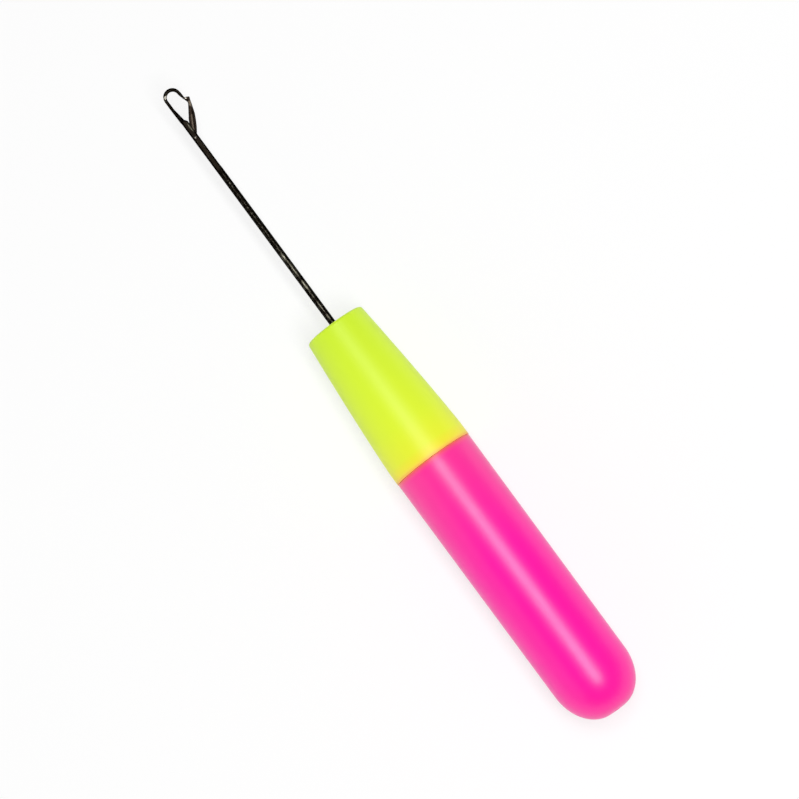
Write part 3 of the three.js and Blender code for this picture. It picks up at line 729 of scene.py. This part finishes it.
slot_bottom = -(rivet_y + EYE_RADIUS + SLOT_CLEARANCE)
floor_neck = slot_floor(latch_reach - NECK_SETBACK, NECK_HALF_WIDTH)
floor_taper = slot_floor(latch_reach - BLADE_TAPER, BLADE_HALF_WIDTH)
floor_shoulder = slot_floor(BLADE_SHOULDER, BLADE_HALF_WIDTH)
floor_slope = (floor_neck[1] - floor_taper[1]) / (floor_taper[0] - floor_neck[0])
floor_along, floor_height = zip(
    (floor_neck[0] - (STEM_RADIUS - floor_neck[1]) / floor_slope, STEM_RADIUS),
    floor_neck,
    floor_taper,
    (floor_shoulder[0], max(floor_shoulder[1], slot_bottom)),
    (0, slot_bottom),
    (CHEEK_FRONT - CHEEK_RAMP, slot_bottom),
    (HOOK_START, drawn_middle(HOOK_START_RADIUS) + HOOK_START_RADIUS),
)

# The tang, which is pressed flat between two ramps 1 mm long, and the plain stem.
rings = [
    ring(TANG_END, 0, 0, section(STEM_RADIUS - TANG_CHAMFER, STEM_RADIUS - TANG_CHAMFER)),
    ring(TANG_END + TANG_CHAMFER, 0, 0, section(STEM_RADIUS, STEM_RADIUS)),
]
for along in np.linspace(WING[0], WING[1], 21):
    pressed = min(1.0, along - WING[0], WING[1] - along)
    pressed = pressed * pressed * (3 - 2 * pressed)
    half_width = STEM_RADIUS + (WING_HALF_WIDTH - STEM_RADIUS) * pressed
    half_thickness = STEM_RADIUS + (WING_HALF_THICKNESS - STEM_RADIUS) * pressed
    squareness = 2 + (WING_SQUARENESS - 2) * pressed
    rings.append(ring(along, 0, 0, section(half_width, half_thickness, squareness)))
for along in np.linspace(WING[1], CHEEK_START, 15)[1:-1]:
    rings.append(ring(along, 0, 0, section(STEM_RADIUS, STEM_RADIUS)))

# The cheeks: flats on both sides, and the slot that the latch lies in.
for along in sorted({*np.round(np.arange(CHEEK_START, HOOK_START, RING_STEP), 2), *floor_along}):
    radius = np.interp(along, [CHEEK_FRONT, HOOK_START], [STEM_RADIUS, HOOK_START_RADIUS])
    middle = drawn_middle(radius)
    flat = np.interp(along, [CHEEK_START, CHEEK_FLAT], [STEM_RADIUS, CHEEK_HALF_WIDTH])
    depth = middle + radius - np.interp(along, floor_along, floor_height)
    slotted = floor_along[0] < along < floor_along[-1] and depth > RIM_CHAMFER
    slot = {"slot_half": SLOT_HALF_WIDTH, "slot_depth": depth} if slotted else {}
    rings.append(ring(along, middle, 0, section(radius, radius, flat=flat, **slot)))

# The hook: drawn thin, bent round, and brought back to its tip.
for along in np.linspace(HOOK_START, WIRE_START, 9)[1:]:
    radius = np.interp(along, [HOOK_START, WIRE_START], [HOOK_START_RADIUS, WIRE_RADIUS])
    rings.append(ring(along, drawn_middle(radius), 0, section(radius, radius)))
leg_heading = math.pi - HOOK_FLARE
for heading in np.linspace(0, leg_heading, 41):
    radius = WIRE_RADIUS + CROWN_SWELL * math.sin(heading)
    along = BEND_START + BEND_RADIUS * math.sin(heading)
    middle = bend_middle - BEND_RADIUS * math.cos(heading)
    rings.append(ring(along, middle, heading, section(radius, radius)))


def leg_ring(along, radius):
    """A ring of the hook's leg, which runs back to its tip."""
    middle = leg_start_middle + (leg_start - along) * math.tan(HOOK_FLARE)
    return ring(along, middle, leg_heading, section(radius, radius))


for share in np.linspace(0, 1, 7):
    along = TIP + TIP_TAPER * (1 - share)
    rings.append(leg_ring(along, WIRE_RADIUS + (TIP_RADIUS - WIRE_RADIUS) * share))
for turn in np.radians([15, 30, 45, 60, 72, 82]):
    along = TIP - TIP_RADIUS * math.sin(turn) * math.cos(HOOK_FLARE)
    rings.append(leg_ring(along, TIP_RADIUS * math.cos(turn)))

# The needle has a painted glint across the hook's crown and a dimmer painted glint behind it on the
# outside, is rubbed on the cheek, and has lighter places along the stem.
needle_glints_and_rubs = [
    # The first two are painted glints.
    (in_hook_plane(10.76, -0.25, 0.1), (0.5, 1.2, 1.0), 0.9),
    (in_hook_plane(10.35, -0.75, 0.1), (0.5, 0.25, 0.5), 0.8),
    (in_hook_plane(2.5, 0.5, 0.5), (1.7, 0.5, 0.6), 0.27),
]
for from_face, mouth_wards, half_length, half_width, lightening in STEM_LIGHT_PLACES:
    middle = in_hook_plane(FACE + from_face, mouth_wards, 0.6)
    needle_glints_and_rubs.append((middle, (half_length, half_width, 0.6), lightening))
needle_steel = blackened_steel(
    "blackened_needle_steel",
    dark="#15110d",
    worn="#6b685b",
    bare_steel_and_glint="#d9d4c9",
    roughness=0.38,
    rubs=needle_glints_and_rubs,
)
needle = skinned("steel_needle", rings, needle_steel)


def hole_tool(radius, half_length):
    """A round cutter through the rivet's place, across the hook's plane."""
    tool = new_object("hole", bpy.data.meshes.new("hole"))
    work = bmesh.new()
    bmesh.ops.create_cone(
        work,
        cap_ends=True,
        segments=48,
        radius1=radius * MM,
        radius2=radius * MM,
        depth=2 * half_length * MM,
        matrix=Matrix.Translation(Vector((rivet_x, rivet_y, AXIS_Z)) * MM),
    )
    work.to_mesh(tool.data)
    work.free()
    return tool


RIVET_RADIUS = 0.2
RIVET_HOLE_RADIUS = 0.21
cut(needle, hole_tool(RIVET_HOLE_RADIUS, 2 * STEM_RADIUS), "DIFFERENCE")
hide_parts("needle", "hook")
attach(needle, "handle")


# Latch: a blade stamped from flat steel, with an eye that turns on the rivet, a shallow channel coined
# along each side, a narrow neck, and a small spoon that closes over the hook's tip.
LATCH_HALF_THICKNESS = 0.2
EYE_HOLE_RADIUS = 0.23
CHANNEL_DEPTH = 0.05
CHANNEL_HALF_WIDTH = 0.32
CHANNEL_SIDE = 0.065  # how far the channel's middle line lies towards the hook
CHANNEL_PLACES = (0.9, 1.6, 5.6, 6.6)  # between the middle two it has its full depth
# Where the painted highlight along the channel's floor starts and ends, and how light it is.
CHANNEL_HIGHLIGHT_START = 1.2
CHANNEL_HIGHLIGHT_END = 5.3
CHANNEL_HIGHLIGHT_LEVEL = 0.16
LATCH_SQUARENESS = 4.0
SPOON_SETBACK = 0.6  # from the hook's tip back to where the spoon begins
SPOON_POCKET_HALF_WIDTH = 0.3
SPOON_POCKET_START = latch_reach - 0.3
SPOON_POCKET_ROOF = SPOON_DROP - 0.3

# Places along the blade from the rivet, with how far it reaches away from the hook and towards it,
# and half its thickness.
BLADE = [
    (0.0, 0.36, 0.36, 0.2),
    (1.3, 0.54, 0.62, 0.2),
    (BLADE_SHOULDER, 0.66, 0.82, 0.2),
    (3.9, 0.7, 0.84, 0.2),
    (5.1, 0.67, 0.72, 0.2),
    (6.5, 0.46, 0.56, 0.2),
    (latch_reach - 1.1, 0.26, 0.46, 0.21),
    (latch_reach - 0.7, 0.17, 0.68, 0.3),
    (latch_reach - 0.5, 0.14, 0.88, 0.37),
    (latch_reach - 0.3, 0.1, 1.1, 0.45),
    (latch_reach - 0.14, 0.08, 1.19, 0.49),
    (latch_reach, 0.06, 1.24, 0.51),
    (latch_reach + 0.18, 0.04, 1.24, 0.48),
    (latch_reach + 0.24, 0.0, 1.19, 0.45),
]


def in_latch(along, hook_wards, sideways):
    """A point given along the closed blade from the rivet and from its middle line towards the hook."""
    return in_hook_plane(
        along * math.cos(latch_angle) + hook_wards * math.sin(latch_angle),
        -rivet_y + along * math.sin(latch_angle) - hook_wards * math.cos(latch_angle),
        sideways,
    )


def smooth_through(places, values, at):
    """Values between places on a smooth curve that doesn't overshoot."""
    slopes = np.diff(values) / np.diff(places)
    tangents = [slopes[0]]
    for before, after in zip(slopes, slopes[1:]):
        tangents.append(0.0 if before * after <= 0 else 2 * before * after / (before + after))
    tangents.append(slopes[-1])
    i = min(max(np.searchsorted(places, at) - 1, 0), len(slopes) - 1)
    length = places[i + 1] - places[i]
    t = (at - places[i]) / length
    return (
        (1 + 2 * t) * (1 - t) ** 2 * values[i]
        + t * (1 - t) ** 2 * length * tangents[i]
        + t * t * (3 - 2 * t) * values[i + 1]
        + t * t * (t - 1) * length * tangents[i + 1]
    )


latch_rings = []
for turn in np.radians([10, 20, 32, 45, 60, 75]):
    height = EYE_RADIUS * math.sin(turn)
    along = -EYE_RADIUS * math.cos(turn)
    outline = section(height, LATCH_HALF_THICKNESS, LATCH_SQUARENESS)
    latch_rings.append([in_latch(along, out, sideways) for out, sideways in outline])
blade_along, blade_away, blade_towards, blade_half = (np.array(column) for column in zip(*BLADE))
blade_steps = np.arange(0, latch_reach - SPOON_SETBACK, RING_STEP)
spoon_steps = np.linspace(latch_reach - SPOON_SETBACK, blade_along[-1], 15)
for along in np.concatenate([blade_steps, spoon_steps]):
    away = smooth_through(blade_along, blade_away, along)
    towards = smooth_through(blade_along, blade_towards, along)
    half = smooth_through(blade_along, blade_half, along)
    pocket_depth = towards - SPOON_POCKET_ROOF if along > SPOON_POCKET_START else 0.0
    pocket = {"slot_half": SPOON_POCKET_HALF_WIDTH, "slot_depth": pocket_depth}
    if pocket_depth <= RIM_CHAMFER:
        pocket = {}
    channel = CHANNEL_DEPTH * np.interp(along, CHANNEL_PLACES, [0, 1, 1, 0])
    outline = section((towards + away) / 2, half, LATCH_SQUARENESS, channel=channel, **pocket)
    middle = (towards - away) / 2
    latch_rings.append([in_latch(along, middle + out, sideways) for out, sideways in outline])
# The latch has a painted glint on the spoon, and is rubbed on the neck.
latch_glint_and_rub = [
    (in_latch(latch_reach + 0.1, 0.85, 0.3), (0.5, 0.5, 0.6), 1.2),
    (in_latch(latch_reach - 1.2, 0.1, 0.2), (0.9, 0.8, 0.5), 0.3),
]
channel_line = (in_latch(0, CHANNEL_SIDE, 0), -latch_angle, CHANNEL_HALF_WIDTH)
latch_steel = blackened_steel(
    "stamped_latch_steel",
    dark="#1c1612",
    worn="#685e52",
    bare_steel_and_glint="#d9d4c9",
    roughness=0.36,
    rubs=latch_glint_and_rub,
    channel=(*channel_line, CHANNEL_HIGHLIGHT_START, CHANNEL_HIGHLIGHT_END, CHANNEL_HIGHLIGHT_LEVEL),
)
latch = skinned("swing_latch", latch_rings, latch_steel)
cut(latch, hole_tool(EYE_HOLE_RADIUS, 2 * STEM_RADIUS), "DIFFERENCE")
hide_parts("latch")
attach(latch, "latch")


# Rivet: the latch's pin, cut from steel wire and peened to a low dome on each cheek. It is tarnished.
RIVET_SEAT = CHEEK_HALF_WIDTH + 0.01
RIVET_HEAD_RADIUS = 0.32
RIVET_HEAD_HEIGHT = 0.1
RIVET_HEAD_STEP = 0.02
RIVET_SIDES = 64


def peened_steel(name):
    """Drawn steel, peened and tarnished. The eye gets a small dull grey glint, slightly hammered."""
    material, tree, size = new_material(name)
    dents = add(tree, "ShaderNodeTexNoise", {"Vector": size, "Scale": 1 / 0.12, "Detail": 2.0})
    shades = {0: dents, 6: linear("#4c4842"), 7: linear("#7a756d")}
    tarnish = add(tree, "ShaderNodeMix", shades, data_type="RGBA").outputs[2]
    gloss = add(tree, "ShaderNodeMapRange", {"Value": dents, "To Min": 0.35, "To Max": 0.5})
    skin = add(tree, "ShaderNodeBump", {"Strength": 1.0, "Distance": 0.006 * MM, "Height": dents})
    finish = {"Base Color": tarnish, "Metallic": 1.0, "Roughness": gloss, "Normal": skin}
    shader = add(tree, "ShaderNodeBsdfPrincipled", finish)
    add(tree, "ShaderNodeOutputMaterial", {"Surface": shader})
    return material


head_middle = RIVET_SEAT + RIVET_HEAD_STEP
head_size = (RIVET_HEAD_HEIGHT - RIVET_HEAD_STEP, RIVET_HEAD_RADIUS)
head = arc(head_middle, 0, *head_size, start=90, end=0, steps=8)
half_profile = [(RIVET_SEAT, RIVET_RADIUS), (RIVET_SEAT, RIVET_HEAD_RADIUS), *head]
rivet_profile = [(-x, radius) for x, radius in reversed(half_profile)] + half_profile
rivet = turned("latch_pin", rivet_profile, RIVET_SIDES, peened_steel("peened_rivet_steel"))
rivet_place = Matrix.Translation(Vector((rivet_x, rivet_y, AXIS_Z)) * MM)
rivet.data.transform(rivet_place @ Matrix.Rotation(math.radians(90), 4, "Y"))
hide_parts("latch_rivet")
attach(rivet, "handle")


# Floor: a white sweep of paper. It looks white and keeps a soft shadow of the tool.
FLOOR_HALF = 3.0  # metres
FLOOR_GLOW = 0.7  # how much of what the eye sees of the paper is its even white


def seen_directly(tree):
    """1 for rays from the eye, a reflection or a transmission, 0 for those that only light things."""
    path = add(tree, "ShaderNodeLightPath").outputs
    first_two = {0: path["Is Camera Ray"], 1: path["Is Glossy Ray"]}
    both = add(tree, "ShaderNodeMath", first_two, operation="ADD")
    all_three = {0: both, 1: path["Is Transmission Ray"]}
    return add(tree, "ShaderNodeMath", all_three, operation="ADD", use_clamp=True)


floor_mesh = bpy.data.meshes.new("floor")
floor_corners = [(x * FLOOR_HALF, y * FLOOR_HALF, 0) for x, y in ((-1, -1), (1, -1), (1, 1), (-1, 1))]
floor_mesh.from_pydata(floor_corners, [], [(0, 1, 2, 3)])
floor = new_object("floor", floor_mesh)
paper = bpy.data.materials.new("white_paper")
paper.use_nodes = True
tree = paper.node_tree
tree.nodes.clear()
matt = add(tree, "ShaderNodeBsdfDiffuse", {"Color": linear("#fafafa")})
glow = add(tree, "ShaderNodeEmission", {"Color": linear("#ffffff"), "Strength": 1.0})
share = add(tree, "ShaderNodeMath", {0: seen_directly(tree), 1: FLOOR_GLOW}, operation="MULTIPLY")
mixed = add(tree, "ShaderNodeMixShader", {0: share, 1: matt, 2: glow})
add(tree, "ShaderNodeOutputMaterial", {"Surface": mixed})
floor_mesh.materials.append(paper)


# Light: a long soft strip above the tool and along it, a broad dim panel on its closed side, and a
# surround that is pale at the horizon and darker overhead.
STRIP_PLACE = (-0.145, -0.085, 0.8)  # metres, as are the other sizes in this section
STRIP_SIZE = (0.67, 0.3)
STRIP_RADIANCE = 9.0
PANEL_PLACE = (0.0, 0.8, 0.42)
PANEL_SIZE = (1.2, 0.5)
PANEL_RADIANCE = 0.5
SEEN_SURROUND = (0.9, 0.0, 0.2)  # at the horizon, overhead, and the height where that starts
LIT_SURROUND = (1.05, 0.16, 0.6)


def soft_light(name, place, size, radiance):
    """A rectangular panel of light that faces the tool's middle."""
    lamp = bpy.data.lights.new(name, "AREA")
    lamp.shape = "RECTANGLE"
    lamp.size, lamp.size_y = size
    lamp.energy = radiance * math.pi * size[0] * size[1]
    made = new_object(name, lamp)
    made.location = place
    made.rotation_euler = (-Vector(place)).to_track_quat("-Z", "Y").to_euler()
    return made


strip = soft_light("overhead_strip", STRIP_PLACE, STRIP_SIZE, STRIP_RADIANCE)
strip.rotation_euler = (0, 0, 0)  # the strip faces straight down
soft_light("side_panel", PANEL_PLACE, PANEL_SIZE, PANEL_RADIANCE)

world = bpy.data.worlds.new("studio")
world.use_nodes = True
bpy.context.scene.world = world
tree = world.node_tree
tree.nodes.clear()
direction = add(tree, "ShaderNodeTexCoord").outputs["Generated"]
height = add(tree, "ShaderNodeSeparateXYZ", {0: direction}).outputs["Z"]
surrounds = []
for horizon, overhead, top in (LIT_SURROUND, SEEN_SURROUND):
    shade = {"Value": height, "From Max": top, "To Min": horizon, "To Max": overhead}
    level = add(tree, "ShaderNodeMapRange", shade, interpolation_type="SMOOTHSTEP")
    white = {"Color": linear("#ffffff"), "Strength": level}
    surrounds.append(add(tree, "ShaderNodeBackground", white))
mixed = add(tree, "ShaderNodeMixShader", {0: seen_directly(tree), 1: surrounds[0], 2: surrounds[1]})
add(tree, "ShaderNodeOutputWorld", {"Surface": mixed})


# Camera: a long lens above the tool, leaning a little towards the butt, with the hook at upper left.
FRAME_WIDTH = 171.35  # what the square picture spans at the tool
LENS = 400.0
SENSOR = 36.0
LEAN = math.radians(5.3)
HOOK_DIRECTION = math.radians(126.4)  # in the picture, from its right-hand side
TOOL_MIDDLE = (-2.19, -0.08)  # where the tool's middle lies from the picture's, to the right and up

forward = Vector((math.sin(LEAN), 0, -math.cos(LEAN)))
tool_wards = (Vector((1, 0, 0)) - forward * forward.x).normalized()
across = Vector((0, 1, 0))
right = tool_wards * math.cos(HOOK_DIRECTION) - across * math.sin(HOOK_DIRECTION)
up = tool_wards * math.sin(HOOK_DIRECTION) + across * math.cos(HOOK_DIRECTION)
middle = Vector((0, 0, AXIS_Z)) - right * TOOL_MIDDLE[0] - up * TOOL_MIDDLE[1]
lens = bpy.data.cameras.new("camera")
lens.lens = LENS
lens.sensor_width = SENSOR
camera = new_object("camera", lens)
turn = Matrix((right, up, -forward)).transposed().to_4x4()
camera.matrix_world = Matrix.Translation((middle - forward * (FRAME_WIDTH * LENS / SENSOR)) * MM) @ turn
bpy.context.scene.camera = camera
bpy.context.scene.view_settings.view_transform = "Standard"
